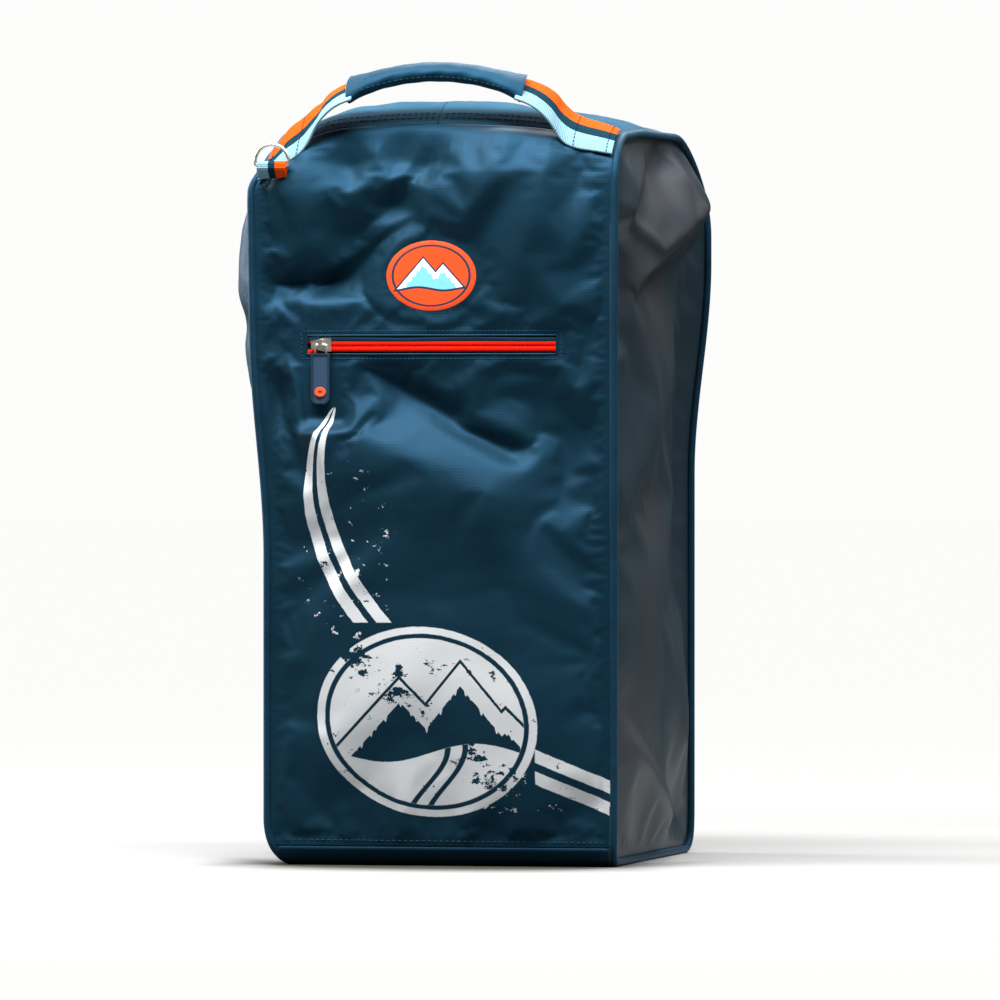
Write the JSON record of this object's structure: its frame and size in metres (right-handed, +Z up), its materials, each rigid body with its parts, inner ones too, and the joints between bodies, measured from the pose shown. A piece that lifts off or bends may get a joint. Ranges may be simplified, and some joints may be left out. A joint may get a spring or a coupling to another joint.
{
  "type": "ski boot bag",
  "caption": "Tall soft rucksack for ski boots with a zipped front pocket, a padded carrying handle, piped side panels and a zipped back door that carries the shoulder straps.",
  "frame": {"origin": "middle of the flat underside of the base, between the side panels", "axes": "+Z up along the bag's height, -Y out of the front with the pocket, +X to the right as seen from the front"},
  "size_m": [0.2906, 0.3506, 0.5955],
  "materials": {
    "navy_weave": "coated nylon twill with a soft sheen",
    "grey_tarpaulin": "smooth glossy coated tarpaulin",
    "navy_piping": "woven tape over a cord",
    "striped_webbing": "woven webbing in light blue, dark teal and orange stripes",
    "grip_wrap": "padded woven wrap",
    "strap_fabric": "dark navy woven fabric and webbing",
    "air_mesh": "spacer mesh over foam",
    "red_coil": "bright red nylon coil and tape",
    "dark_coil": "dark navy nylon coil and tape",
    "nickel": "polished nickel plate",
    "rubber_pull": "moulded satin rubber",
    "badge_print": "smooth moulded transfer",
    "base_stiffener": "plain board",
    "buckle_plastic": "moulded acetal"
  },
  "bodies": {
    "bag": {"front_panel": "navy_weave", "top_panel_left": "navy_weave", "top_panel_right": "navy_weave", "back_yoke": "navy_weave", "back_surround": "navy_weave", "base_panel": "navy_weave", "base_board": "base_stiffener", "side_panel_left": "navy_weave", "side_panel_right": "grey_tarpaulin", "piping_left": "navy_piping", "piping_right": "navy_piping", "pocket_zip_upper": "red_coil", "pocket_zip_lower": "red_coil", "pocket_bag": "strap_fabric", "front_badge": "badge_print", "handle_end_left": "striped_webbing", "handle_end_right": "striped_webbing", "ring_tab": "striped_webbing", "door_zip_outer": "dark_coil"},
    "pocket_slider": {"pocket_slider": "nickel"},
    "pocket_pull": {"pocket_pull_wire": "nickel", "pocket_pull_tab": "rubber_pull", "pocket_pull_badge": "badge_print"},
    "handle": {"handle_riser_left": "striped_webbing", "handle_riser_right": "striped_webbing", "handle_grip": "grip_wrap"},
    "ring": {"ring": "nickel"},
    "back_door": {"back_door_panel": "navy_weave", "door_zip_inner": "dark_coil", "strap_yoke": "navy_weave", "back_pad_left": "air_mesh", "back_pad_right": "air_mesh", "strap_pad_left": "strap_fabric", "strap_pad_right": "strap_fabric", "strap_webbing_left": "strap_fabric", "strap_webbing_right": "strap_fabric", "strap_tail_left": "strap_fabric", "strap_tail_right": "strap_fabric", "strap_buckle_left": "buckle_plastic", "strap_buckle_right": "buckle_plastic", "strap_anchor_left": "navy_weave", "strap_anchor_right": "navy_weave"},
    "door_left_slider": {"door_left_slider": "nickel"},
    "door_left_pull": {"door_left_pull_wire": "nickel", "door_left_pull_tab": "rubber_pull"},
    "door_right_slider": {"door_right_slider": "nickel"},
    "door_right_pull": {"door_right_pull_wire": "nickel", "door_right_pull_tab": "rubber_pull"}
  },
  "joints": [
    {"name": "pocket_zip_slide", "type": "slide", "parent": "bag", "child": "pocket_slider", "axis": [1, 0, 0], "range_m": [0, 0.168]},
    {"name": "pocket_pull_lift", "type": "hinge", "parent": "pocket_slider", "child": "pocket_pull", "pos_m": [-0.084, -0.15405, 0.386], "axis": [-1, 0, 0], "range_deg": [0, 100]},
    {"name": "handle_tilt", "type": "hinge", "parent": "bag", "child": "handle", "pos_m": [0, -0.1297, 0.5525], "axis": [1, 0, 0], "range_deg": [-14, 14]},
    {"name": "ring_swing", "type": "hinge", "parent": "bag", "child": "ring", "pos_m": [-0.121, -0.1542, 0.519], "axis": [1, 0, 0], "range_deg": [0, 135]},
    {"name": "back_door_hinge", "type": "hinge", "parent": "bag", "child": "back_door", "pos_m": [0, 0.1485, 0.0445], "axis": [-1, 0, 0], "range_deg": [0, 80]},
    {"name": "door_left_zip_slide", "type": "slide", "parent": "back_door", "child": "door_left_slider", "axis": [-1, 0, 0], "range_m": [0, 0.07]},
    {"name": "door_left_pull_lift", "type": "hinge", "parent": "door_left_slider", "child": "door_left_pull", "pos_m": [-0.01, 0.15405, 0.46495], "axis": [1, 0, 0], "range_deg": [0, 100]},
    {"name": "door_right_zip_slide", "type": "slide", "parent": "back_door", "child": "door_right_slider", "axis": [1, 0, 0], "range_m": [0, 0.07]},
    {"name": "door_right_pull_lift", "type": "hinge", "parent": "door_right_slider", "child": "door_right_pull", "pos_m": [0.01, 0.15405, 0.46495], "axis": [1, 0, 0], "range_deg": [0, 100]}
  ]
}
